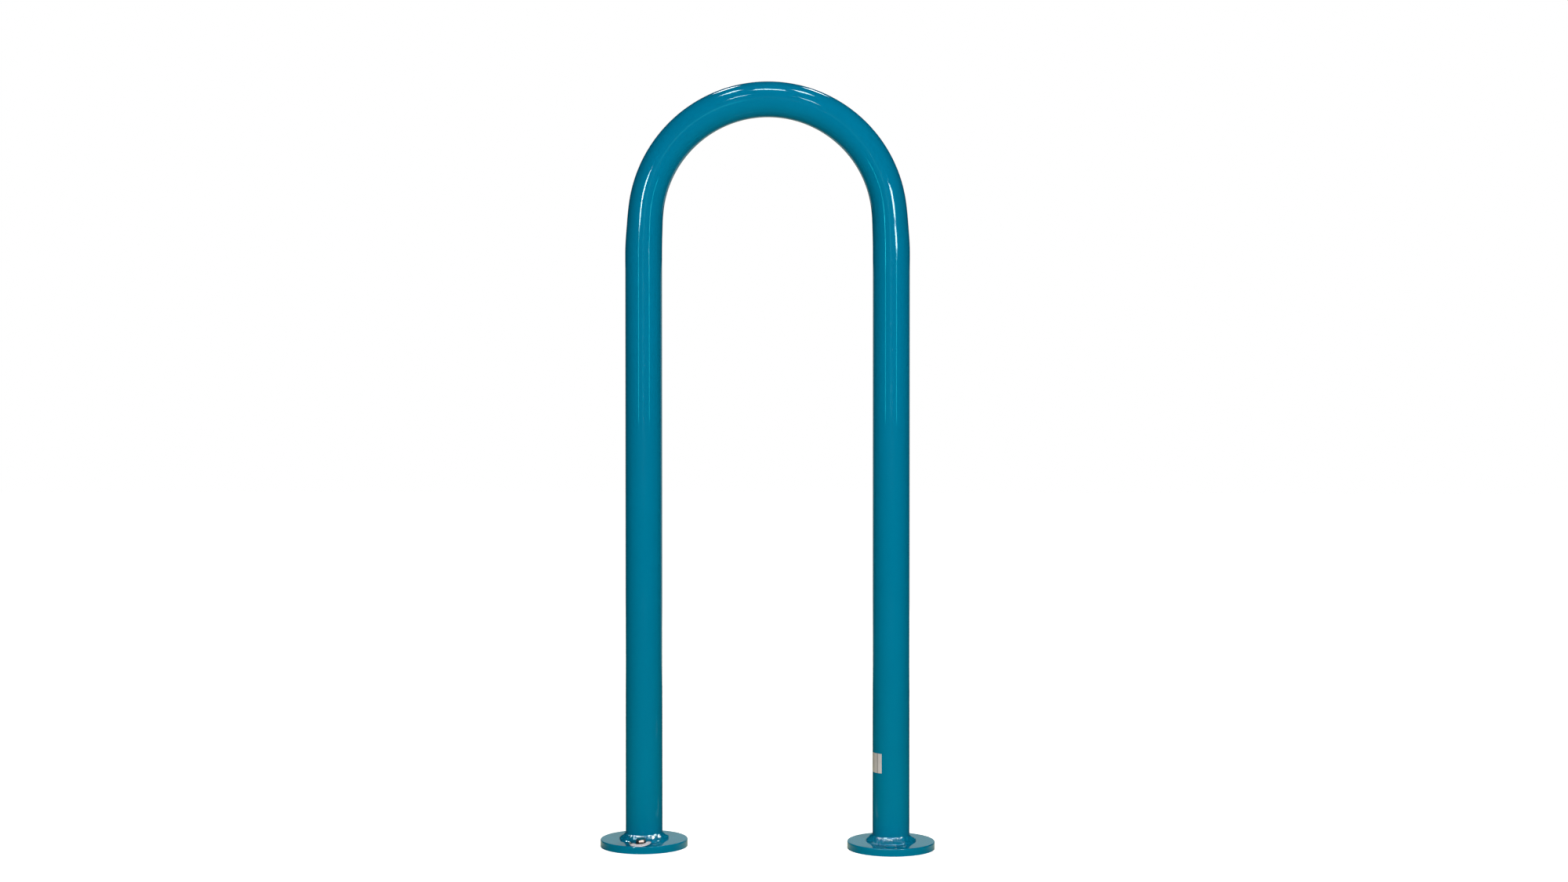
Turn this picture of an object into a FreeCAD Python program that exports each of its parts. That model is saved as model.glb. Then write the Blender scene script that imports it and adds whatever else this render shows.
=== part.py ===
"""Hoop bike rack: one bent pipe, welded at each foot to a round base flange.

Lengths are in millimetres and angles in degrees. The origin is on the ground,
midway between the legs. +Z is up, +X runs from the left leg to the right one,
and -Y is the front. Left and right are as seen from the front.
"""

import FreeCAD, Part
import math
import os

Vector = FreeCAD.Vector
UP = Vector(0, 0, 1)
BACK = Vector(0, 1, 0)

LEFT = -1
RIGHT = 1

# Pipe
pipe_diameter = 48.26
pipe_wall = 3.68

# Hoop, whose bend leaves the pipe slightly oval and drawn in
leg_spacing = 323.85
hoop_height = 1000.1
bend_flattening = 2.1
bend_spread = 0.9
bend_inset = 2.2
run_in_below = 40.0
run_in_above = 20.0
run_in_sections = 7

# Base flanges, with the first anchor hole at the front
flange_diameter = 114.3
flange_thickness = 9.525
flange_edge_round = 0.8
anchor_edge_distance = 12.7
anchor_hole_diameter = 14.29
anchor_hole_count = 2
vent_hole_diameter = 12.7

# Fillet welds round the feet
weld_leg = 8.4

# Label on the right leg, where it starts left of the front and how high its middle is
label_width = 50.8
label_height = 25.4
label_thickness = 0.2
label_gap = 0.02
label_level = 113.2
label_start = 30.3

# Screw and washer in the front hole of the left flange
screw_diameter = 6.35
screw_head_width = 11.11
screw_head_height = 4.0
screw_head_chamfer = 30.0
screw_head_turn = 15.0
screw_side_gap = 0.15
screw_end_gap = 0.5
washer_diameter = 28.6
washer_hole_play = 2.38
washer_thickness = 1.6
washer_side_gap = 0.14
washer_seat_gap = 0.05
washer_low_side = 15.0
washer_steepest_tilt = 45.0
screw_press_side = 15.0

# What follows from them
pipe_radius = pipe_diameter / 2
flange_radius = flange_diameter / 2
anchor_circle_radius = flange_radius - anchor_edge_distance
washer_radius = washer_diameter / 2
washer_hole_radius = (screw_diameter + washer_hole_play) / 2
weld_toe_radius = pipe_radius + weld_leg
bend_radius = leg_spacing / 2 - bend_inset
bend_depth_radius = pipe_radius - bend_flattening / 2
bend_width_radius = pipe_radius + bend_spread / 2
bend_centre = Vector(0, 0, hoop_height - bend_radius - bend_depth_radius)
run_in_angle = math.degrees(run_in_above / bend_radius)
screw_corner_radius = screw_head_width / math.sqrt(3)
screw_aside = Vector(washer_hole_play / 2 - washer_side_gap, 0, 0)

# How often the search for the washer's tilt halves its range
halvings = 40


def foot(side):
    """Point on the ground under the middle of a leg."""
    return Vector(side * leg_spacing / 2, 0, 0)


def heading(azimuth):
    """Level unit vector, turned by azimuth from the front towards the right."""
    turn = math.radians(azimuth)
    return Vector(math.sin(turn), -math.cos(turn), 0)


def oval(centre, outwards, depth_radius, width_radius):
    """Section of the pipe, with its depth along outwards and its width from front to back."""
    ellipse = Part.Ellipse(Vector(), width_radius, depth_radius)
    section = Part.Wire([ellipse.toShape()])
    turn = FreeCAD.Rotation(BACK, outwards, BACK.cross(outwards))
    section.Placement = FreeCAD.Placement(centre, turn)
    return section


def run_in_section(side, rise, inwards):
    """Section at a height rise from the end of a leg, measured along the pipe.

    It is round and in line with the leg at the lower end of the run-in, and eases into the
    oval of the bend at the upper end.
    """
    share = (rise + run_in_below) / (run_in_above + run_in_below)
    eased = share * share * (3 - 2 * share)
    turn = max(0.0, rise / bend_radius)
    outwards = Vector(side * math.cos(turn), 0, math.sin(turn))
    centre = bend_centre + outwards * (leg_spacing / 2 - bend_inset * eased) + UP * min(0.0, rise)
    depth_radius = pipe_radius - bend_flattening / 2 * eased - inwards
    width_radius = pipe_radius + bend_spread / 2 * eased - inwards
    return oval(centre, outwards, depth_radius, width_radius)


def run_in(side, inwards):
    """Stretch between a leg and the bend, where the section turns oval."""
    step = (run_in_above + run_in_below) / (run_in_sections - 1)
    rises = [number * step - run_in_below for number in range(run_in_sections)]
    return Part.makeLoft([run_in_section(side, rise, inwards) for rise in rises], True)


def bend(inwards):
    turn = math.radians(run_in_angle)
    outwards = Vector(math.cos(turn), 0, math.sin(turn))
    centre = bend_centre + outwards * bend_radius
    section = oval(centre, outwards, bend_depth_radius - inwards, bend_width_radius - inwards)
    return Part.Face(section).revolve(bend_centre, -BACK, 180 - 2 * run_in_angle)


def leg(side, inwards):
    height = bend_centre.z - run_in_below - flange_thickness
    return Part.makeCylinder(pipe_radius - inwards, height, foot(side) + UP * flange_thickness, UP)


def pipe_shape(inwards):
    """The whole hoop as a solid bar, drawn in from the pipe's outside by inwards."""
    stretches = [bend(inwards)]
    for side in (LEFT, RIGHT):
        stretches.append(run_in(side, inwards))
        stretches.append(leg(side, inwards))
    return stretches[0].fuse(stretches[1:])


def hoop_tube():
    return pipe_shape(0).cut(pipe_shape(pipe_wall))


def hole_centre(side, number):
    azimuth = 360 * number / anchor_hole_count
    return foot(side) + heading(azimuth) * anchor_circle_radius


def base_flange(side):
    """Round plate with a rounded upper edge, anchor holes and a vent into the pipe."""
    plate = Part.makeCylinder(flange_radius, flange_thickness, foot(side), UP)
    top_edges = [edge for edge in plate.Edges if edge.BoundBox.ZMin > flange_thickness / 2]
    plate = plate.makeFillet(flange_edge_round, top_edges)
    plate = plate.cut(Part.makeCylinder(vent_hole_diameter / 2, flange_thickness, foot(side), UP))
    for number in range(anchor_hole_count):
        place = hole_centre(side, number)
        plate = plate.cut(Part.makeCylinder(anchor_hole_diameter / 2, flange_thickness, place, UP))
    return plate


def base_weld(side):
    """Fillet weld with equal legs, from the pipe down to the top of the flange."""
    base = foot(side) + UP * flange_thickness
    cone = Part.makeCone(weld_toe_radius, pipe_radius, weld_leg, base, UP)
    return cone.cut(Part.makeCylinder(pipe_radius, weld_leg, base, UP))


def label():
    """Sticker wrapped round the right leg, from label_start on round the hoop's inside."""
    inner_radius = pipe_radius + label_gap
    wrap = math.degrees(label_width / inner_radius)
    base = foot(RIGHT) + UP * (label_level - label_height / 2)
    wedge = Part.makeCylinder(inner_radius + label_thickness, label_height, base, UP, wrap)
    sheet = wedge.cut(Part.makeCylinder(inner_radius, label_height, base, UP))
    sheet.rotate(base, UP, -90 - label_start - wrap)
    return sheet


def washer_place(tilt):
    """Where the middle of the washer's underside goes when the washer tips by tilt.

    Its low side stands on the flange, and the screw through it leans on its hole's wall.
    """
    low = heading(-washer_low_side)
    turn = FreeCAD.Rotation(UP.cross(low), math.degrees(tilt))
    height = flange_thickness + washer_seat_gap + washer_radius * math.sin(tilt)
    aside = turn.multVec(screw_aside)
    play = (anchor_hole_diameter - screw_diameter) / 2 - screw_side_gap
    screw_foot = hole_centre(LEFT, 0) + heading(180 - screw_press_side) * play
    centre = screw_foot + low * ((height + aside.z) * math.tan(tilt)) - aside
    return FreeCAD.Placement(Vector(centre.x, centre.y, height), turn)


def weld_clearance(tilt):
    """Least height of the washer's lower edge over the weld and the flange."""
    place = washer_place(tilt)
    least = washer_diameter
    for azimuth in range(360):
        edge = place.multVec(heading(azimuth) * washer_radius)
        radius = math.hypot(edge.x - foot(LEFT).x, edge.y)
        ground = flange_thickness + max(0.0, weld_toe_radius - radius)
        least = min(least, edge.z - ground)
    return least


def seated_place():
    """The washer tips, by the least angle at which its rear edge rests clear on the weld."""
    too_low = 0.0
    clear = math.radians(washer_steepest_tilt)
    for _ in range(halvings):
        tilt = (too_low + clear) / 2
        if weld_clearance(tilt) < washer_seat_gap / 2:
            too_low = tilt
        else:
            clear = tilt
    return washer_place(clear)


def anchor_washer():
    disc = Part.makeCylinder(washer_radius, washer_thickness)
    ring = disc.cut(Part.makeCylinder(washer_hole_radius, washer_thickness))
    ring.Placement = seated_place()
    return ring


def hexagon(corner_radius, height, base):
    """Hexagonal bar with one flat turned to the front."""
    corners = [base + heading(30 + 60 * number) * corner_radius for number in range(6)]
    outline = Part.makePolygon(corners + corners[:1])
    return Part.Face(outline).extrude(UP * height)


def screw_head(base):
    """Hex head that stands on base, with the corners of its top turned off to a cone."""
    corner_depth = screw_corner_radius - screw_head_width / 2
    cone_height = corner_depth * math.tan(math.radians(screw_head_chamfer))
    shoulder = screw_head_height - cone_height
    envelope = Part.makeCylinder(screw_corner_radius, shoulder, base, UP)
    cone = Part.makeCone(screw_corner_radius, screw_head_width / 2, cone_height, base + UP * shoulder, UP)
    head = hexagon(screw_corner_radius, screw_head_height, base).common(envelope.fuse(cone))
    head.rotate(base, UP, screw_head_turn)
    return head


def anchor_screw():
    """Hex head on the washer, and a plain shank that stops above the ground."""
    place = seated_place()
    upright = place.Rotation.multVec(UP).z
    shank_radius = screw_diameter / 2
    end_height = screw_end_gap + shank_radius * math.sqrt(1 - upright * upright)
    reach = (place.multVec(screw_aside).z - end_height) / upright
    shank = Part.makeCylinder(shank_radius, reach + washer_thickness, screw_aside - UP * reach, UP)
    head = screw_head(screw_aside + UP * washer_thickness)
    screw = head.fuse(shank).removeSplitter()
    screw.Placement = place
    return screw


def save(name, shape):
    solid = shape.Solids[0] if len(shape.Solids) == 1 else shape
    solid.exportStep("parts/" + name + ".step")
    print(name, "solids", len(shape.Solids), "valid", shape.isValid(), "volume", round(shape.Volume, 1))


os.makedirs("parts", exist_ok=True)
save("hoop_tube", hoop_tube())
save("left_base_flange", base_flange(LEFT))
save("right_base_flange", base_flange(RIGHT))
save("left_base_weld", base_weld(LEFT))
save("right_base_weld", base_weld(RIGHT))
save("label", label())
save("anchor_washer", anchor_washer())
save("anchor_screw", anchor_screw())
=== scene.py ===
"""Hoop bike rack: glossy teal powder coat over a bent pipe, two flanges and their welds.

Lengths are in metres and angles in degrees. +Z is up, +X runs from the left leg to the
right one, and -Y is the front. Azimuths are counted from the front towards the right.
"""

import bmesh
import bpy
import math
from mathutils import Matrix, Vector


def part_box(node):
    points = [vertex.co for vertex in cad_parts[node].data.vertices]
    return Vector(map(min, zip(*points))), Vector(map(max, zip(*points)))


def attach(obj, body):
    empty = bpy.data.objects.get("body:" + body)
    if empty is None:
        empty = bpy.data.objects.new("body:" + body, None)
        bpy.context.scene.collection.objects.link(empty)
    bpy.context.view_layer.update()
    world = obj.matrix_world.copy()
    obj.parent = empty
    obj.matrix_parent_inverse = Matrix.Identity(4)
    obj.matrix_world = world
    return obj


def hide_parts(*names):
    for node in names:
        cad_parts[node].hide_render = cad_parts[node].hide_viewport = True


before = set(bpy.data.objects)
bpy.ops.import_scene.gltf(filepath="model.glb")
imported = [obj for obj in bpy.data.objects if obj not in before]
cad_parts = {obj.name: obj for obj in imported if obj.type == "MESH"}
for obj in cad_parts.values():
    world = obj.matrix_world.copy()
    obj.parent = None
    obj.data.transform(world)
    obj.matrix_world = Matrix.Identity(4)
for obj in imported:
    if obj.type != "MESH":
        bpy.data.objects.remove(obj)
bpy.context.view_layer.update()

LEFT = -1
RIGHT = 1
SIDE_NAMES = {LEFT: "left", RIGHT: "right"}
UP = Vector((0, 0, 1))

# Sockets of a Mix node that blends colours, which share their names with its other sockets
MIX_SHARE = 0
MIX_FIRST = 6
MIX_SECOND = 7
MIX_RESULT = 2

# Pipe and hoop, whose bend leaves the pipe slightly oval and drawn in
pipe_radius = 0.02413
pipe_wall = 0.00368
bend_flattening = 0.0021
bend_spread = 0.0009
bend_inset = 0.0022
run_in_below = 0.040
run_in_above = 0.020

# Seam along the pipe, counted round it from the hoop's inside towards the front
seam_angle = 43.0
seam_width = 0.0005
seam_depth = 0.00012

# Mesh of the pipe, and how small its steps are at the top of the bend and at the seam
pipe_columns = 160
pipe_rows = 560
step_at_top = 0.3
step_at_seam = 0.35

# Flanges
flange_edge_round = 0.0015
anchor_edge_distance = 0.0127
anchor_hole_radius = 0.007145
vent_hole_radius = 0.00635
hole_edge_round = 0.0004
flange_points = 192
anchor_hole_points = 64
vent_hole_points = 48

# Weld beads, with what stands out from an even fillet
weld_leg = 0.0084
weld_hollow = 1.3
weld_toe = 0.0009
weld_lump = 0.0011
weld_wander = 0.0012
weld_ripple = 0.00012
weld_ripples = 64.0
weld_columns = 800
weld_rows = 48

# Inner wall of a bead: how far it reaches into the pipe, and its share of the bead's height
weld_overlap = 0.0006
inner_share = 0.9

# Least height of a bead's face over the flange
weld_least_level = 0.0001

# Shares of a bead's face, from the pipe to the toe
smooth_share = 0.2
toe_share = 0.88
toe_width = 0.12

# Ripples of a bead: how far they bow and stray, and what counts as their middle
ripple_bow = 3.0
ripple_stray = 16.0
ripple_middle = 0.6

# Label, which starts at an angle left of the front and goes on round the hoop's inside
label_start = 30.3
label_width = 0.0508
label_thickness = 0.00018
label_gap = 0.00002
label_dip = 0.00009
crease_shade_width = 0.0006
label_columns = 240
label_rows = 24

# Washer, whose upper side is worn down towards its edge
washer_radius = 0.0143
washer_thickness = 0.0016
washer_hole_radius = 0.004365
washer_edge_round = 0.0003
washer_flat_radius = 0.0070
washer_edge_drop = 0.0009
washer_points = 128

# Screw
screw_radius = 0.003175
screw_head_width = 0.01111
screw_head_height = 0.004
screw_head_chamfer = 30.0
screw_head_turn = 15.0
screw_points = 72
plain_neck = 0.002
thread_pitch = 0.00127
thread_depth = 0.00045
thread_end_taper = 0.0006
rings_to_pitch = 8

# Duller front of the washer, painted paler as a stand-in for the light it catches: over which
# distances it begins outwards and forwards, and its slant
dull_painted_outwards = (0.0072, 0.0100)
dull_painted_forwards = (-0.0005, 0.0045)
dull_painted_slant = 0.30

# Camera
camera_place = (0.1522, -2.7794, 0.5703)
camera_heading = 2.682
camera_tilt = -0.80
camera_lens = 48.9

# Light and room, as radiances
fill_light = 0.02
dark_room = 0.006
front_room = 0.03
white_near = 0.80
white_far = 1.0
leg_box = 44.0
sparkle = 260.0
rim_glint = 150.0

# Floor: half its size, and the distances over which one look passes into the next
floor_half = 12.0
white_fade = (0.6, 2.5)
bounce_pool_fade = (0.25, 0.9)
pale_start = (-0.045, 0.005)
pale_end = (0.075, 0.105)

# Paler patch of the room that the gloss shows in front, as parts of a direction
patch_forwards = (0.80, 0.97)
patch_upwards = (0.25, 0.45)

# Lamp stands to the right and left in front of the rack
right_stand = (1.01, -1.35)
left_stand = (-0.77, -1.26)

# Places that lamps are aimed at
rack_middle = (0, 0, 0.6)
rack_bottom = (0, 0, 0.1)
foot_level = (0, 0, 0.01)
upper_leg_height = 0.84

# Beam of a lamp that shines to all sides of its front, and colours of light
open_beam = 180.0
white_light = (1.0, 1.0, 1.0)
teal_light = (0.05, 1.0, 1.0)
warm_light = (1.0, 1.0, 0.75)


left_flange_low, left_flange_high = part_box("left_base_flange")
flange_thickness = left_flange_high.z
flange_radius = (left_flange_high.x - left_flange_low.x) / 2
leg_offset = -(left_flange_low.x + left_flange_high.x) / 2
hoop_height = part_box("hoop_tube")[1].z
label_low, label_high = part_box("label")
bend_radius = leg_offset - bend_inset
bend_level = hoop_height - bend_radius - pipe_radius + bend_flattening / 2
hole_circle_radius = flange_radius - anchor_edge_distance
upper_right_leg = (leg_offset, 0, upper_leg_height)
upper_left_leg = (-leg_offset, 0, upper_leg_height)


class Signal:
    """An output of a node, on which arithmetic adds Math nodes."""

    def __init__(self, graph, socket):
        self.graph = graph
        self.socket = socket

    def calculate(self, operation, *terms):
        inputs = dict(enumerate(terms))
        return self.graph.node("ShaderNodeMath", inputs, {"operation": operation})["Value"]

    def __add__(self, other):
        return self.calculate("ADD", self, other)

    __radd__ = __add__

    def __sub__(self, other):
        return self.calculate("SUBTRACT", self, other)

    def __rsub__(self, other):
        return self.calculate("SUBTRACT", other, self)

    def __mul__(self, other):
        return self.calculate("MULTIPLY", self, other)

    __rmul__ = __mul__

    def __truediv__(self, other):
        return self.calculate("DIVIDE", self, other)

    def __pow__(self, other):
        return self.calculate("POWER", self, other)

    def __neg__(self):
        return self.calculate("MULTIPLY", self, -1.0)

    def over(self, other):
        """1 where the signal is greater than the other, and 0 elsewhere."""
        return self.calculate("GREATER_THAN", self, other)

    def greatest(self, other):
        return self.calculate("MAXIMUM", self, other)

    def least(self, other):
        return self.calculate("MINIMUM", self, other)

    def size(self):
        return self.calculate("ABSOLUTE", self)

    def sign(self):
        return self.calculate("SIGN", self)

    def sine(self):
        return self.calculate("SINE", self)

    def cosine(self):
        return self.calculate("COSINE", self)

    def angle_from(self, other):
        """Angle whose sine and cosine are in the ratio of the signal to the other."""
        return self.calculate("ARCTAN2", self, other)

    def nearest_whole(self):
        return self.calculate("ROUND", self)

    def remainder(self, other):
        return self.calculate("FLOORED_MODULO", self, other)

    def ease(self, start, end):
        """0 below start, 1 above end, and a smooth rise between."""
        inputs = {"Value": self, "From Min": start, "From Max": end}
        settings = {"interpolation_type": "SMOOTHSTEP"}
        return self.graph.node("ShaderNodeMapRange", inputs, settings)["Result"]

    def bell(self, width):
        """1 where the signal is 0, falling off over width on both sides."""
        ratio = self / width
        return self.calculate("EXPONENT", -(ratio * ratio))


class Step:
    """One node, whose outputs are had by name or number."""

    def __init__(self, graph, made):
        self.graph = graph
        self.made = made

    def __getitem__(self, key):
        return Signal(self.graph, self.made.outputs[key])


class Graph:
    """A node tree under construction."""

    def __init__(self, tree):
        self.tree = tree

    def node(self, kind, inputs=None, settings=None):
        """Adds a node. An input is a signal to link, or the value that its socket gets."""
        made = self.tree.nodes.new(kind)
        for name, value in (settings or {}).items():
            setattr(made, name, value)
        for key, value in (inputs or {}).items():
            if isinstance(value, Signal):
                self.tree.links.new(value.socket, made.inputs[key])
            else:
                made.inputs[key].default_value = value
        return Step(self, made)

    def mixed(self, share, first, second):
        """Colour between first and second."""
        inputs = {MIX_SHARE: share, MIX_FIRST: first, MIX_SECOND: second}
        return self.node("ShaderNodeMix", inputs, {"data_type": "RGBA"})[MIX_RESULT]

    def vector(self, x, y, z):
        return self.node("ShaderNodeCombineXYZ", {"X": x, "Y": y, "Z": z})["Vector"]

    def parts(self, vector):
        """The X, Y and Z of a vector, to be had by name."""
        return self.node("ShaderNodeSeparateXYZ", {"Vector": vector})

    def place(self):
        return self.node("ShaderNodeTexCoord")["Object"]

    def noise(self, place, scale, detail):
        inputs = {"Vector": place, "Scale": scale, "Detail": detail}
        return self.node("ShaderNodeTexNoise", inputs)["Fac"]


def colour(red, green, blue):
    return (red, green, blue, 1.0)


def new_material(name):
    material = bpy.data.materials.new(name)
    material.use_nodes = True
    material.node_tree.nodes.clear()
    return material, Graph(material.node_tree)


def finish_material(graph, shader):
    graph.node("ShaderNodeOutputMaterial", {"Surface": shader})


def principled(graph, inputs):
    return graph.node("ShaderNodeBsdfPrincipled", inputs)["BSDF"]


def bump(graph, height, distance):
    inputs = {"Height": height, "Distance": distance, "Strength": 1.0}
    return graph.node("ShaderNodeBump", inputs)["Normal"]


def dust_nibs(graph, place, spacing, share, radius):
    """Round specks, at most one to a cell and only in a share of the cells."""
    cells = graph.node("ShaderNodeTexVoronoi", {"Vector": place, "Scale": 1 / spacing})
    chance = graph.node("ShaderNodeSeparateColor", {"Color": cells["Color"]})["Red"]
    speck = 1 - cells["Distance"].ease(0.0, radius / spacing)
    return speck * chance.over(1 - share)


def powder_coat():
    """Glossy teal paint, slightly cloudy, with a faint peel and a few dust nibs."""
    material, graph = new_material("powder_coat")
    place = graph.place()
    cloudy = graph.noise(place, scale=9.0, detail=3.0)
    fine = graph.noise(place, scale=700.0, detail=2.0)
    peel = graph.noise(place, scale=260.0, detail=1.0)
    nibs = dust_nibs(graph, place, spacing=0.022, share=0.25, radius=0.0006)
    relief = peel + nibs * 8.0
    inputs = {
        "Base Color": graph.mixed(cloudy, colour(0.0, 0.150, 0.266), colour(0.0, 0.167, 0.298)),
        "Roughness": 0.04 + fine * 0.04,
        "IOR": 1.5,
        "Specular Tint": colour(0.7, 0.96, 1.0),
        "Normal": bump(graph, relief, distance=0.0000012),
    }
    finish_material(graph, principled(graph, inputs))
    return material


def washer_steel():
    """Zinc, mirror-bright at the rear and round the screw; its front is duller, and painted paler
    and pinker as a stand-in for the light it catches.
    """
    material, graph = new_material("washer_steel")
    place = graph.place()
    spot = graph.parts(place)
    middle = top_of("anchor_washer")[0]
    aside = spot["X"] - middle.x
    forward = middle.y - spot["Y"]
    from_middle = (aside * aside + forward * forward) ** 0.5
    cloudy = graph.noise(place, scale=260.0, detail=3.0)
    grain = graph.noise(place, scale=3200.0, detail=2.0)
    # Mask of the duller front, which also gets the paler, pinker painted-light colour below.
    dull_painted_front = from_middle.ease(*dull_painted_outwards) * (forward + aside * dull_painted_slant).ease(*dull_painted_forwards)
    dull_painted_front = dull_painted_front * (0.6 + cloudy * 0.7).least(1.0)
    inputs = {
        "Base Color": graph.mixed(dull_painted_front, colour(0.52, 0.56, 0.58), colour(0.97, 0.88, 0.90)),
        "Metallic": 1 - dull_painted_front * 0.75,
        "Roughness": 0.10 + cloudy * 0.10 + dull_painted_front * 0.15,
        "Normal": bump(graph, grain, distance=0.000004),
    }
    finish_material(graph, principled(graph, inputs))
    return material


def screw_steel():
    """Dull zinc with a yellowish cast."""
    material, graph = new_material("screw_steel")
    place = graph.place()
    cloudy = graph.noise(place, scale=420.0, detail=3.0)
    grain = graph.noise(place, scale=2600.0, detail=2.0)
    inputs = {
        "Base Color": graph.mixed(cloudy, colour(0.50, 0.42, 0.36), colour(0.74, 0.64, 0.57)),
        "Metallic": 1.0,
        "Roughness": 0.16 + cloudy * 0.10,
        "Normal": bump(graph, grain, distance=0.000006),
    }
    finish_material(graph, principled(graph, inputs))
    return material


def label_film():
    """Pale satin film, with painted shade along the fold over the pipe's seam."""
    material, graph = new_material("label_film")
    place = graph.place()
    spot = graph.parts(place)
    cloudy = graph.noise(place, scale=120.0, detail=4.0)
    grain = graph.noise(place, scale=1500.0, detail=2.0)
    azimuth = (spot["X"] - leg_offset).angle_from(-spot["Y"])
    from_seam = (azimuth - math.radians(seam_angle - 90)) * pipe_radius
    film = graph.mixed(cloudy, colour(0.44, 0.415, 0.44), colour(0.60, 0.57, 0.60))
    # Painted shade: a near-black line where the film is pressed into the pipe's seam.
    crease_shade = from_seam.bell(crease_shade_width) * 0.85
    inputs = {
        "Base Color": graph.mixed(crease_shade, film, colour(0.03, 0.03, 0.028)),
        "Roughness": 0.38 + cloudy * 0.2,
        "Normal": bump(graph, grain, distance=0.00001),
    }
    finish_material(graph, principled(graph, inputs))
    return material


def floor_paper():
    """Pale floor that the camera sees as white, apart from the rack's shadow.

    The paint's gloss shows a dim floor, but for a pale stretch beside and behind each foot.
    """
    material, graph = new_material("floor_paper")
    path = graph.node("ShaderNodeLightPath")
    spot = graph.parts(graph.place())
    reach = (spot["X"] * spot["X"] + spot["Y"] * spot["Y"]) ** 0.5
    aside = spot["X"].size() - leg_offset
    from_foot = (aside * aside + spot["Y"] * spot["Y"]) ** 0.5
    pale = spot["Y"].ease(*pale_start) * (1 - from_foot.ease(*pale_end))
    glow = path["Is Camera Ray"] * (white_near + reach.ease(*white_fade) * (white_far - white_near))
    # Painted pool of light: bounce rays see the floor paler and yellower near the rack, fading to a
    # darker tone farther out.
    warm_bounce_pool = graph.mixed(reach.ease(*bounce_pool_fade), colour(0.74, 0.72, 0.42), colour(0.26, 0.25, 0.21))
    paper = graph.mixed(path["Is Diffuse Ray"], colour(0.50, 0.50, 0.50), warm_bounce_pool)
    mirrored = graph.mixed(pale, colour(0.015, 0.015, 0.013), colour(0.52, 0.55, 0.48))
    shine = graph.node("ShaderNodeCombineColor", {"Red": glow, "Green": glow, "Blue": glow})
    inputs = {
        "Base Color": graph.mixed(path["Is Glossy Ray"], paper, mirrored),
        "Roughness": 0.9,
        "Specular IOR Level": 0.0,
        "Emission Color": shine["Color"],
        "Emission Strength": 1.0,
    }
    finish_material(graph, principled(graph, inputs))
    return material


def add_piece(name, mesh):
    piece = bpy.data.objects.new(name, mesh)
    bpy.context.scene.collection.objects.link(piece)
    return piece


def shade(mesh, sharp_from):
    """Smooth shading, but for edges that bend by more than sharp_from."""
    mesh.shade_smooth()
    mesh.set_sharp_from_angle(angle=math.radians(sharp_from))


def hand_over(piece, node):
    """The piece takes the node's place on the rack."""
    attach(piece, "root")
    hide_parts(node)


def finished(name, mesh, material, sharp_from, placement=Matrix()):
    """Piece from a mesh under construction, moved from the origin to its placement."""
    bmesh.ops.recalc_face_normals(mesh, faces=mesh.faces)
    data = bpy.data.meshes.new(name)
    mesh.to_mesh(data)
    mesh.free()
    data.transform(placement)
    data.materials.append(material)
    shade(data, sharp_from)
    return add_piece(name, data)


def grown(name, tree_maker, sizes, material, sharp_from):
    """Piece with a plain mesh, grown by a Geometry Nodes tree from the given sizes."""
    tree = bpy.data.node_groups.new(name, "GeometryNodeTree")
    tree.interface.new_socket("Geometry", in_out="OUTPUT", socket_type="NodeSocketGeometry")
    graph = Graph(tree)
    wanted = {}
    for title, value in sizes.items():
        kind = "NodeSocketInt" if isinstance(value, int) else "NodeSocketFloat"
        wanted[title] = tree.interface.new_socket(title, in_out="INPUT", socket_type=kind)
    given = graph.node("NodeGroupInput")
    surface = tree_maker(graph, given)
    whole = graph.node("GeometryNodeRealizeInstances", {"Geometry": surface})["Geometry"]
    painted = graph.node("GeometryNodeSetMaterial", {"Geometry": whole, "Material": material})
    graph.node("NodeGroupOutput", {"Geometry": painted["Geometry"]})
    piece = add_piece(name, bpy.data.meshes.new(name))
    modifier = piece.modifiers.new(name, "NODES")
    modifier.node_group = tree
    for title, value in sizes.items():
        modifier[wanted[title].identifier] = value
    depsgraph = bpy.context.evaluated_depsgraph_get()
    mesh = bpy.data.meshes.new_from_object(piece.evaluated_get(depsgraph), depsgraph=depsgraph)
    piece.modifiers.clear()
    piece.data = mesh
    mesh.name = name
    shade(mesh, sharp_from)
    return piece


def closed_grid(graph, columns, rows, placed):
    """Grid whose rows and columns close on themselves once placed has moved its points.

    placed gets the point's way across its row, from -1 to 1, and the number of its row.
    """
    inputs = {"Size X": 1.0, "Size Y": 1.0, "Vertices X": columns + 1, "Vertices Y": rows + 1}
    grid = graph.node("GeometryNodeMeshGrid", inputs)["Mesh"]
    start = graph.parts(graph.node("GeometryNodeInputPosition")["Position"])
    across = start["X"] * 2
    row = ((start["Y"] + 0.5) * rows).nearest_whole().remainder(rows)
    moves = {"Geometry": grid, "Position": placed(across, row)}
    moved = graph.node("GeometryNodeSetPosition", moves)["Geometry"]
    joins = {"Geometry": moved, "Distance": 1e-6}
    return graph.node("GeometryNodeMergeByDistance", joins)["Geometry"]


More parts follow.
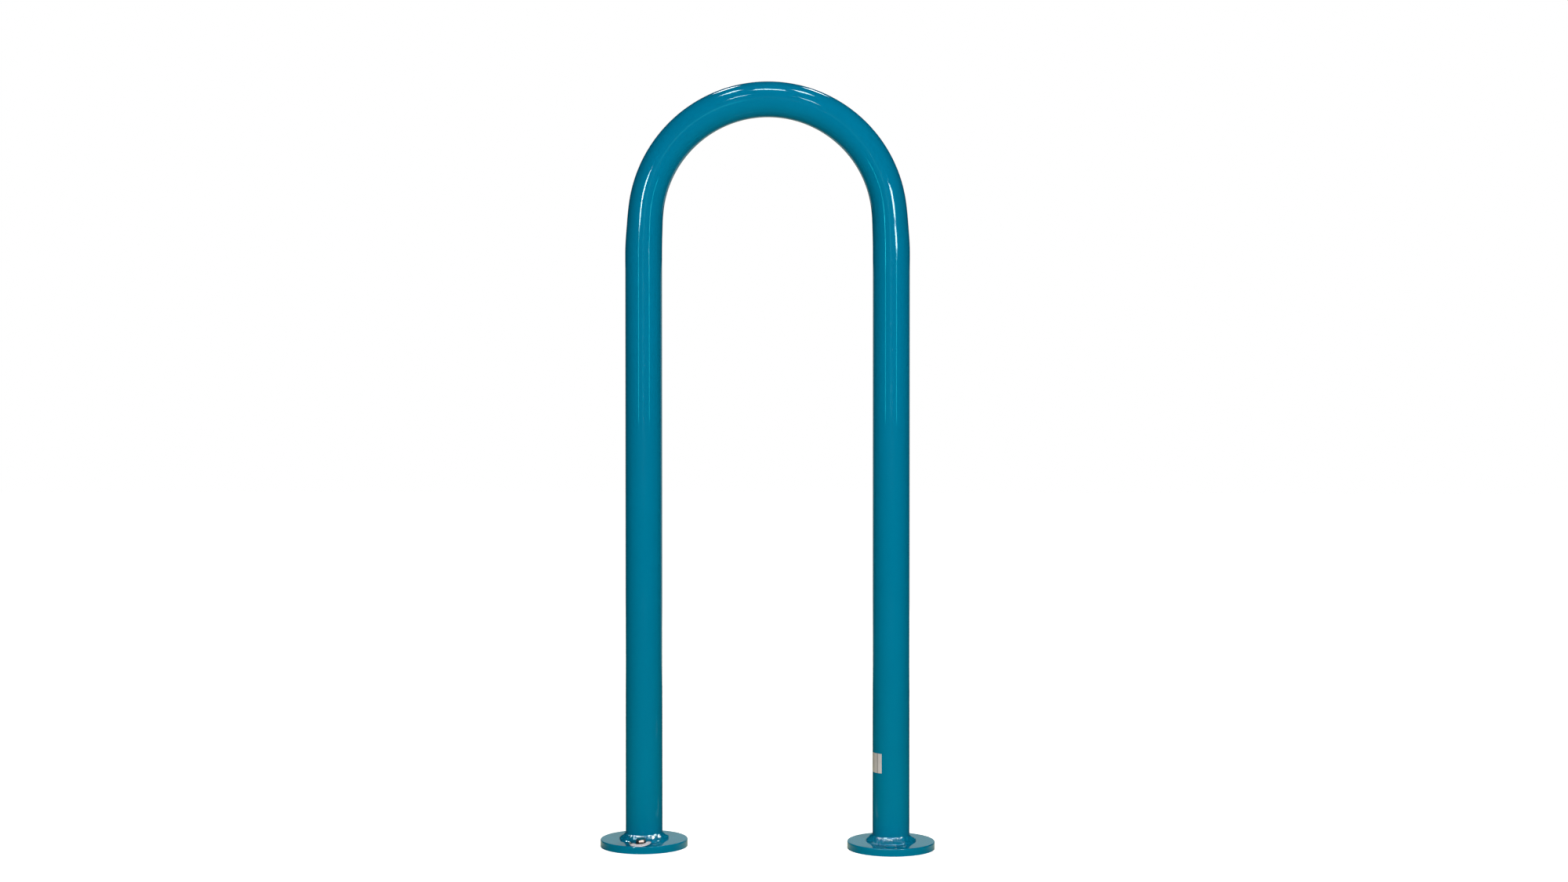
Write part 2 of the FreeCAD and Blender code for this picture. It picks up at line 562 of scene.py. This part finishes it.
def hoop_nodes(graph, given):
    """Pipe wall as one closed skin: along the outside, over one end and back along the bore."""

    def placed(across, row):
        """The first half of the rows is the outside, and the second half is the bore."""
        half = given["Rows"] / 2
        bore = row.over(half - 0.5)
        step = row - bore * half
        way = (step / (half - 1)) * 2 - 1
        way = way * (1 - bore * 2)
        quarter_turn = given["Bend radius"] * (math.pi / 2)
        reach = quarter_turn + given["Leg length"]
        travel = reach * way * (step_at_top + (1 - step_at_top) * way.size() ** 4.0)
        rise = quarter_turn - travel.size()
        eased = rise.ease(-run_in_below, run_in_above)
        turn = rise.greatest(0.0) / given["Bend radius"]
        around = (across * step_at_seam + across ** 3.0 * (1 - step_at_seam)) * math.pi
        angle = around + math.radians(seam_angle)
        groove = (around * pipe_radius).bell(given["Seam width"]) * given["Seam depth"]
        inwards = bore * given["Wall"] + (1 - bore) * groove
        depth_radius = pipe_radius - eased * (bend_flattening / 2) - inwards
        width_radius = pipe_radius + eased * (bend_spread / 2) - inwards
        off_axis = given["Leg offset"] - eased * bend_inset - angle.cosine() * depth_radius
        x = turn.cosine() * travel.sign() * off_axis
        y = -(angle.sine() * width_radius)
        z = turn.sine() * off_axis + rise.least(0.0) + given["Bend level"]
        return graph.vector(x, y, z)

    return closed_grid(graph, given["Columns"], given["Rows"], placed)


def hoop(material):
    sizes = {
        "Columns": pipe_columns,
        "Rows": pipe_rows,
        "Leg offset": leg_offset,
        "Leg length": bend_level - flange_thickness,
        "Bend level": bend_level,
        "Bend radius": bend_radius,
        "Wall": pipe_wall,
        "Seam width": seam_width,
        "Seam depth": seam_depth,
    }
    return grown("hoop_pipe", hoop_nodes, sizes, material, sharp_from=40.0)


def ring(mesh, centre, radius, level, count):
    """Level circle of points."""
    points = []
    for number in range(count):
        turn = 2 * math.pi * number / count
        place = (centre.x + radius * math.cos(turn), centre.y + radius * math.sin(turn), level)
        points.append(mesh.verts.new(place))
    return points


def skin(mesh, lower, upper):
    """Faces between two rings of as many points."""
    count = len(lower)
    for number in range(count):
        after = (number + 1) % count
        mesh.faces.new((lower[number], lower[after], upper[after], upper[number]))


def rounded_wall(mesh, centre, radius, rounding, outside, count):
    """Upright wall of a plate or hole with a rounded upper edge.

    outside is 1 for the plate's rim and -1 for a hole. Returns the wall's lowest and highest
    ring, which lie on the plate's two faces.
    """
    rounds = 5
    support = 0.00015
    profile = [(-support, 0.0), (0.0, 0.0), (0.0, flange_thickness - rounding - support)]
    for number in range(rounds + 1):
        turn = math.pi / 2 * number / rounds
        inset = rounding * (1 - math.cos(turn))
        profile.append((-inset, flange_thickness - rounding * (1 - math.sin(turn))))
    profile.append((-rounding - support, flange_thickness))
    rings = [ring(mesh, centre, radius + outside * inset, level, count) for inset, level in profile]
    for lower, upper in zip(rings, rings[1:]):
        skin(mesh, lower, upper)
    return rings[0], rings[-1]


def base_flange(side, material):
    mesh = bmesh.new()
    centre = Vector((side * leg_offset, 0, 0))
    reach = Vector((0, hole_circle_radius, 0))
    walls = [rounded_wall(mesh, centre, flange_radius, flange_edge_round, 1, flange_points)]
    for place in (centre - reach, centre + reach):
        hole = rounded_wall(mesh, place, anchor_hole_radius, hole_edge_round, -1, anchor_hole_points)
        walls.append(hole)
    walls.append(rounded_wall(mesh, centre, vent_hole_radius, hole_edge_round, -1, vent_hole_points))
    for circles in zip(*walls):
        edges = []
        for circle in circles:
            for first, second in zip(circle, circle[1:] + circle[:1]):
                edges.append(mesh.edges.get((first, second)))
        bmesh.ops.triangle_fill(mesh, use_beauty=True, edges=edges)
    return finished(SIDE_NAMES[side] + "_flange_plate", mesh, material, sharp_from=50.0)


def top_of(node):
    """Middle and direction of a node's uppermost flat face, from its triangles."""
    facing_up = 0.9
    near = 0.00002
    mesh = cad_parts[node].data
    widest = max(mesh.polygons, key=lambda face: (face.normal.z > facing_up) * face.area)
    direction = widest.normal.normalized()
    level = max(vertex.co.dot(direction) for vertex in mesh.vertices)
    flat = [face for face in mesh.polygons if abs(face.center.dot(direction) - level) < near]
    area = sum(face.area for face in flat)
    middle = sum((face.center * face.area for face in flat), Vector()) / area
    return middle, direction


def standing(middle, direction):
    """Turns the upright to direction, by the shortest way, and moves the origin to middle."""
    turn = UP.rotation_difference(direction)
    return Matrix.Translation(middle) @ turn.to_matrix().to_4x4()


def weld_marks(side):
    """Places where a bead isn't like the rest of it.

    Each has its azimuth, its share of the way from the pipe to the toe, its half widths round and
    along the bead, how far it leans, and its height.
    """
    if side == RIGHT:
        crevice = (-89, 0.55, 0.0016, 0.0034, 30, -0.0015)
        end_of_bead = (-106, 0.45, 0.0026, 0.0034, 0, 0.0016)
        run_at_toe = (35, 0.85, 0.0009, 0.0036, -42, 0.0016)
        return [crevice, end_of_bead, run_at_toe]
    middle = top_of("anchor_washer")[0]
    under_washer = math.degrees(math.atan2(middle.x + leg_offset, -middle.y))
    return [(under_washer, 0.78, 0.0060, 0.0030, 0, -0.0006)]


def weld_maker(side):
    """Fillet bead as a closed ring: hollow towards the pipe, full at its toe, and lumpy all over."""
    middle_radius = pipe_radius + weld_leg / 2
    face_length = weld_leg * math.sqrt(2)

    def swell_at(graph, given, angle, share):
        """How far the bead's face stands out from an even fillet."""
        around = angle * middle_radius
        along = share * face_length
        x = angle.cosine() * middle_radius
        y = angle.sine() * middle_radius
        spot = graph.vector(x, y, along + given["Seed"])
        lumps = graph.noise(spot, scale=300.0, detail=0.0) - 0.5
        wander = graph.noise(spot, scale=95.0, detail=1.0) - 0.5
        bow = (share - 0.5) * (share - 0.5) * ripple_bow
        phase = angle * (given["Ripples"] / 2) + bow + wander * ripple_stray
        ripple = phase.sine().size() - ripple_middle
        swell = (lumps * given["Lump"] + ripple * given["Ripple"]) * share.ease(0.0, smooth_share)
        swell = swell + wander * given["Wander"] * share ** 0.5
        swell = swell + (share - toe_share).bell(toe_width) * given["Toe"]
        for azimuth, place, round_width, along_width, lean, height in weld_marks(side):
            aside = around - math.radians(azimuth) * middle_radius
            down = along - place * face_length
            cosine = math.cos(math.radians(lean))
            sine = math.sin(math.radians(lean))
            over = (aside * cosine + down * sine).bell(round_width)
            beside = (down * cosine - aside * sine).bell(along_width)
            swell = swell + over * beside * height
        return swell

    def weld_nodes(graph, given):
        def placed(across, row):
            """Three rows follow the face: its foot, and the foot and top of the inner wall."""
            last_face = given["Rows"] - 4
            share = (row / last_face).least(1.0)
            past_face = row.over(last_face + 0.5)
            inner = row.over(last_face + 1.5)
            inner_top = row.over(last_face + 2.5)
            angle = across * math.pi
            leg = given["Leg"]
            push = swell_at(graph, given, angle, share) * math.sqrt(0.5)
            radius = pipe_radius + leg * share ** given["Hollow"] + push
            level = (leg * (1 - share) + push).greatest(weld_least_level)
            radius = radius * (1 - inner) + inner * (pipe_radius - weld_overlap)
            level = level * (1 - past_face) + inner_top * leg * inner_share
            x = angle.sine() * radius + given["Offset"]
            y = -(angle.cosine() * radius)
            return graph.vector(x, y, level + flange_thickness)

        return closed_grid(graph, given["Columns"], given["Rows"], placed)

    return weld_nodes


def base_weld(side, material):
    sizes = {
        "Columns": weld_columns,
        "Rows": weld_rows,
        "Leg": weld_leg,
        "Hollow": weld_hollow,
        "Toe": weld_toe,
        "Lump": weld_lump,
        "Wander": weld_wander,
        "Ripple": weld_ripple,
        "Ripples": weld_ripples,
        "Seed": 0.1 * side,
        "Offset": side * leg_offset,
    }
    name = SIDE_NAMES[side] + "_weld_bead"
    return grown(name, weld_maker(side), sizes, material, sharp_from=70.0)


def label(material):
    """Thin closed sheet round the right leg, pressed down into the pipe's seam."""
    inner = pipe_radius + label_gap
    outer = inner + label_thickness
    wrap = label_width / inner
    mesh = bmesh.new()

    def point(column, radius, level):
        azimuth = -math.radians(label_start) - wrap * column / label_columns
        from_seam = (azimuth - math.radians(seam_angle - 90)) * inner / seam_width
        radius = radius - label_dip * math.exp(-from_seam * from_seam)
        place = (leg_offset + radius * math.sin(azimuth), -radius * math.cos(azimuth), level)
        return mesh.verts.new(place)

    loops = []
    for row in range(label_rows + 1):
        level = label_low.z + (label_high.z - label_low.z) * row / label_rows
        outer_side = [point(column, outer, level) for column in range(label_columns + 1)]
        inner_side = [point(column, inner, level) for column in range(label_columns, -1, -1)]
        loops.append(outer_side + inner_side)
    for lower, upper in zip(loops, loops[1:]):
        skin(mesh, lower, upper)
    for loop in (loops[0], loops[-1]):
        for column in range(label_columns):
            mesh.faces.new((loop[column], loop[column + 1], loop[-2 - column], loop[-1 - column]))
    return finished("label_film", mesh, material, sharp_from=60.0)


def rounded_corner(middle_radius, middle_level, rounding, start, count):
    """Quarter circle of profile points from the direction start on."""
    points = []
    for number in range(count + 1):
        turn = math.radians(start + 90 * number / count)
        radius = middle_radius + rounding * math.cos(turn)
        level = middle_level + rounding * math.sin(turn)
        points.append((radius, level))
    return points


def washer(material):
    """Flat ring whose upper side falls off towards a worn edge, built with its top at the origin."""
    mesh = bmesh.new()
    rounding = washer_edge_round
    outer = washer_radius - rounding
    inner = washer_hole_radius + rounding
    low = rounding - washer_thickness
    high = -rounding
    profile = rounded_corner(outer, low, rounding, -90, 4)
    profile += rounded_corner(outer, high - washer_edge_drop, rounding, 0, 3)
    worn_steps = 12
    for number in range(worn_steps):
        share = 1 - number / worn_steps
        radius = washer_flat_radius + (outer - washer_flat_radius) * share
        profile.append((radius, -washer_edge_drop * share * share))
    profile += rounded_corner(inner, high, rounding, 90, 4)
    profile += rounded_corner(inner, low, rounding, 180, 4)
    rings = [ring(mesh, Vector(), radius, level, washer_points) for radius, level in profile]
    for lower, upper in zip(rings, rings[1:] + rings[:1]):
        skin(mesh, lower, upper)
    placement = standing(*top_of("anchor_washer"))
    return finished("flat_washer", mesh, material, sharp_from=40.0, placement=placement)


def hexagon_ring(mesh, level, shrink, corner_drop):
    """Hexagonal ring of points, whose corners lie lower by corner_drop."""
    corner_radius = screw_head_width / math.sqrt(3)
    flat_radius = screw_head_width / 2
    points = []
    for number in range(screw_points):
        turn = 2 * math.pi * number / screw_points
        within = (turn % (math.pi / 3)) - math.pi / 6
        radius = (flat_radius - shrink) / math.cos(within)
        aim = turn - math.radians(60) + math.radians(screw_head_turn)
        out = max(0.0, radius - flat_radius) / (corner_radius - flat_radius)
        place = (radius * math.cos(aim), radius * math.sin(aim), level - corner_drop * out)
        points.append(mesh.verts.new(place))
    return points


def thread_ring(mesh, level, depth):
    """Ring of a shank whose ridges climb by one pitch to a turn."""
    points = []
    for number in range(screw_points):
        turn = 2 * math.pi * number / screw_points
        phase = (level / thread_pitch - number / screw_points) % 1.0
        radius = screw_radius - depth * abs(2 * phase - 1)
        points.append(mesh.verts.new((radius * math.cos(turn), radius * math.sin(turn), level)))
    return points


def screw(material):
    """Threaded shank, plain neck and hex head, built with the head's top at the origin."""
    middle, direction = top_of("anchor_screw")
    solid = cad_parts["anchor_screw"].data
    end_level = min((vertex.co - middle).dot(direction) for vertex in solid.vertices)
    underside = -screw_head_height
    neck = underside - plain_neck
    corner_depth = screw_head_width / math.sqrt(3) - screw_head_width / 2
    corner_drop = corner_depth * math.tan(math.radians(screw_head_chamfer))
    edge = 0.0002
    underside_inset = 0.0003
    top_inset = 0.0004
    mesh = bmesh.new()
    steps = int((neck - end_level) / thread_pitch * rings_to_pitch)
    rings = [ring(mesh, Vector(), screw_radius - thread_end_taper, end_level, screw_points)]
    for number in range(1, steps):
        fade = min(1.0, (steps - number) / rings_to_pitch)
        level = end_level + (neck - end_level) * number / steps
        rings.append(thread_ring(mesh, level, thread_depth * fade))
    rings.append(ring(mesh, Vector(), screw_radius, neck, screw_points))
    rings.append(ring(mesh, Vector(), screw_radius, underside, screw_points))
    rings.append(hexagon_ring(mesh, underside, underside_inset, 0.0))
    rings.append(hexagon_ring(mesh, underside + edge, 0.0, 0.0))
    rings.append(hexagon_ring(mesh, -edge, 0.0, corner_drop))
    rings.append(ring(mesh, Vector(), screw_head_width / 2 - top_inset, 0.0, screw_points))
    for lower, upper in zip(rings, rings[1:]):
        skin(mesh, lower, upper)
    mesh.faces.new(rings[-1])
    mesh.faces.new(list(reversed(rings[0])))
    placement = standing(middle, direction)
    return finished("hex_screw", mesh, material, sharp_from=35.0, placement=placement)


def sheet(name, corners, material):
    """One flat four-cornered face."""
    mesh = bpy.data.meshes.new(name)
    mesh.from_pydata(corners, [], [(0, 1, 2, 3)])
    mesh.materials.append(material)
    return add_piece(name, mesh)


def level_corners(low_x, low_y, high_x, high_y, level):
    """Corners of a level rectangle."""
    outline = [(low_x, low_y), (high_x, low_y), (high_x, high_y), (low_x, high_y)]
    return [(x, y, level) for x, y in outline]


def floor(material):
    corners = level_corners(-floor_half, -floor_half, floor_half, floor_half, 0)
    piece = sheet("studio_floor", corners, material)


def card(name, corners, tint):
    """Glowing card that only shows as a reflection."""
    material, graph = new_material(name)
    shine = {"Color": tint, "Strength": 1.0}
    finish_material(graph, graph.node("ShaderNodeEmission", shine)["Emission"])
    piece = sheet(name, corners, material)
    piece.visible_camera = False
    piece.visible_diffuse = False
    piece.visible_shadow = False
    return piece


def rear_card():
    """Wide card behind the rack, which the flanges mirror."""
    half = 1.2
    away = 1.6
    low = 0.001
    high = 0.88
    corners = [(-half, away, low), (half, away, low), (half, away, high), (-half, away, high)]
    return card("rear_card", corners, colour(0.41, 0.50, 0.46))


def white_floor_for(pieces):
    """Strip of white floor in front of the left foot, which only the bare metal mirrors."""
    length = 0.5
    half = 0.07
    level = 0.0005
    near = -flange_radius - 0.001
    corners = level_corners(-leg_offset - half, near - length, -leg_offset + half, near, level)
    only_for(card("white_floor_strip", corners, colour(2.2, 2.1, 2.1)), pieces)


def area_lamp(name, place, aim, size, radiance, tint):
    """Area lamp of a width and height, as bright as its radiance, that the camera doesn't see."""
    width, height = size
    light = bpy.data.lights.new(name, "AREA")
    light.shape = "RECTANGLE"
    light.size = width
    light.size_y = height
    light.energy = radiance * math.pi * width * height
    light.color = tint
    lamp = bpy.data.objects.new(name, light)
    lamp.location = place
    lamp.rotation_euler = (Vector(place) - Vector(aim)).to_track_quat("Z", "Y").to_euler()
    lamp.visible_camera = False
    bpy.context.scene.collection.objects.link(lamp)
    return lamp


def shading_lamp(name, place, aim, size, radiance, tint=white_light):
    """Lamp that lights the rack, and that no reflection shows."""
    lamp = area_lamp(name, place, aim, size, radiance, tint)
    lamp.visible_glossy = False


def gloss_lamp(name, place, aim, size, radiance, beam=open_beam, tint=white_light):
    """Lamp that shows only as a highlight, and only inside its beam.

    Its energy is less in a narrow beam, which keeps its radiance the same.
    """
    lamp = area_lamp(name, place, aim, size, radiance, tint)
    lamp.visible_diffuse = False
    if beam < open_beam:
        half = math.radians(beam / 2)
        lamp.data.spread = 2 * half
        lamp.data.energy = lamp.data.energy * (1 - half / math.tan(half))
    return lamp


def only_for(lamp, pieces):
    """The lamp or card shows on nothing but these pieces."""
    lit = bpy.data.collections.new(lamp.name + "_lit")
    for piece in pieces:
        lit.objects.link(piece)
    lamp.light_linking.receiver_collection = lit


def on_stand(stand, height):
    """Place at a height on a lamp stand."""
    return (stand[0], stand[1], height)


def towards(azimuth, elevation, distance, start):
    """Place at a distance from start, in the given direction."""
    turn = math.radians(azimuth)
    lift = math.radians(elevation)
    level_x = math.sin(turn) * math.cos(lift)
    level_y = -math.cos(turn) * math.cos(lift)
    return Vector(start) + Vector((level_x, level_y, math.sin(lift))) * distance


def shading_lamps():
    """Lamps that give the rack its light and dark sides."""
    large = (1.2, 1.2)
    shading_lamp("right_key", on_stand(right_stand, 1.05), rack_middle, (0.28, 0.42), 34.0)
    shading_lamp("left_key", on_stand(left_stand, 1.09), rack_middle, (0.17, 0.27), 34.0)
    shading_lamp("front_fill", (0.2, -4.0, 0.9), rack_middle, large, 20.0)
    shading_lamp("top_fill", (0.0, 0.2, 3.6), rack_bottom, large, 8.0)
    shading_lamp("rear_fill", (0.1, 2.6, 1.6), rack_bottom, large, 20.0, tint=warm_light)


def leg_highlights():
    """Boxes on the two stands, seen as the long highlights at the upper ends of the legs."""
    boxes_at_legs = [
        ("right_box", on_stand(right_stand, 1.128), upper_right_leg, (0.33, 0.274), 17.0),
        ("right_box_lower", on_stand(right_stand, 0.935), upper_right_leg, (0.30, 0.060), 17.0),
        ("left_box", on_stand(left_stand, 1.077), upper_left_leg, (0.17, 0.296), 20.0),
    ]
    for name, place, aim, size, beam in boxes_at_legs:
        gloss_lamp(name, place, aim, size, leg_box, beam)


def faint_lines(pipe):
    """Dim teal lamps, seen as the faint lines along the pipe."""
    tall = (0.07, 0.38)
    faint = [
        ("left_box_aside", on_stand(left_stand, 0.90), upper_right_leg, (0.09, 0.08), 8.0, 20.0),
        ("right_stand", on_stand(right_stand, 0.74), rack_middle, tall, 8.0, open_beam),
        ("left_stand", on_stand(left_stand, 0.74), rack_middle, tall, 7.0, open_beam),
        ("middle_stand", (-0.08, -3.7, 0.9), rack_middle, (0.10, 0.7), 3.0, open_beam),
    ]
    for name, place, aim, size, radiance, beam in faint:
        only_for(gloss_lamp(name, place, aim, size, radiance, beam, teal_light), [pipe])


def bend_highlights():
    """Boxes over and behind the rack, seen as the short highlights on the bend."""
    top = (0, 0, hoop_height)
    boxes_over_bend = [
        ("right_front", 7.5, 28.5, 2.4, (0.16, 0.16), 18.0),
        ("left_front", -10.5, 28.5, 2.4, (0.16, 0.16), 18.0),
        ("front_overhead", -4, 61, 2.2, (0.46, 0.26), 22.0),
        ("right_overhead", 42, 71, 2.2, (0.30, 0.28), 22.0),
        ("left_overhead", -56, 68, 2.2, (0.30, 0.28), 22.0),
        ("right_rear", 158.7, 50, 2.2, (0.30, 0.26), 16.0),
        ("left_rear", -153.5, 50, 2.2, (0.30, 0.26), 16.0),
    ]
    for name, azimuth, elevation, distance, size, radiance in boxes_over_bend:
        gloss_lamp(name, towards(azimuth, elevation, distance, top), top, size, radiance)


def sparkle_lamps(beads, plates):
    """Bright flash tubes, seen only as glints on the weld beads and on the plates' rims."""
    tube = (0.22, 0.22)
    left_bead = beads[:1]
    tubes = [
        ("right_flash", 37, 32, 2.0, sparkle, beads),
        ("left_flash", -32, 34, 2.0, sparkle, beads),
        ("overhead_flash", -4, 66, 2.6, sparkle, beads),
        ("far_right_flash", 80, 35, 2.0, sparkle, beads),
        ("far_left_flash", -80, 35, 2.0, sparkle, beads),
        ("left_overhead_flash", -48, 60, 2.2, sparkle, beads),
        ("rear_right_flash", 112, 52, 2.0, sparkle, left_bead),
        ("right_rim_flash", 46.7, 55, 2.0, rim_glint, plates),
        ("left_rim_flash", -40, 55, 2.0, rim_glint, plates),
    ]
    for name, azimuth, elevation, distance, radiance, pieces in tubes:
        place = towards(azimuth, elevation, distance, foot_level)
        only_for(gloss_lamp(name, place, foot_level, tube, radiance), pieces)


def room():
    """White to the camera, an even fill for the object, and a dim room in its gloss."""
    world = bpy.data.worlds.new("studio_room")
    world.use_nodes = True
    world.node_tree.nodes.clear()
    graph = Graph(world.node_tree)
    path = graph.node("ShaderNodeLightPath")
    way = graph.parts(graph.node("ShaderNodeTexCoord")["Generated"])
    patch = (-way["Y"]).ease(*patch_forwards) * (1 - way["Z"].ease(*patch_upwards))
    mirrored = dark_room + patch * (front_room - dark_room)
    seen = path["Is Camera Ray"]
    glossy = path["Is Glossy Ray"].greatest(path["Is Transmission Ray"])
    level = seen + (1 - seen) * (glossy * mirrored + (1 - glossy) * fill_light)
    shader = graph.node("ShaderNodeBackground", {"Color": colour(1, 1, 1), "Strength": level})
    graph.node("ShaderNodeOutputWorld", {"Surface": shader["Background"]})
    bpy.context.scene.world = world


def camera():
    data = bpy.data.cameras.new("camera")
    data.lens = camera_lens
    data.sensor_width = 36.0
    eye = bpy.data.objects.new("camera", data)
    eye.location = camera_place
    eye.rotation_euler = (math.radians(90 + camera_tilt), 0, math.radians(camera_heading))
    bpy.context.scene.collection.objects.link(eye)
    bpy.context.scene.camera = eye


paint = powder_coat()
pipe = hoop(paint)
hand_over(pipe, "hoop_tube")
plates = []
beads = []
for side in (LEFT, RIGHT):
    plates.append(base_flange(side, paint))
    beads.append(base_weld(side, paint))
    hand_over(plates[-1], SIDE_NAMES[side] + "_base_flange")
    hand_over(beads[-1], SIDE_NAMES[side] + "_base_weld")
sticker = label(label_film())
hand_over(sticker, "label")
flat_washer = washer(washer_steel())
hex_screw = screw(screw_steel())
hand_over(flat_washer, "anchor_washer")
hand_over(hex_screw, "anchor_screw")

floor(floor_paper())
only_for(rear_card(), [pipe, sticker, flat_washer, hex_screw] + plates)
white_floor_for([flat_washer, hex_screw])
shading_lamps()
leg_highlights()
faint_lines(pipe)
bend_highlights()
sparkle_lamps(beads, plates)
room()
camera()
bpy.context.scene.view_settings.view_transform = "Standard"
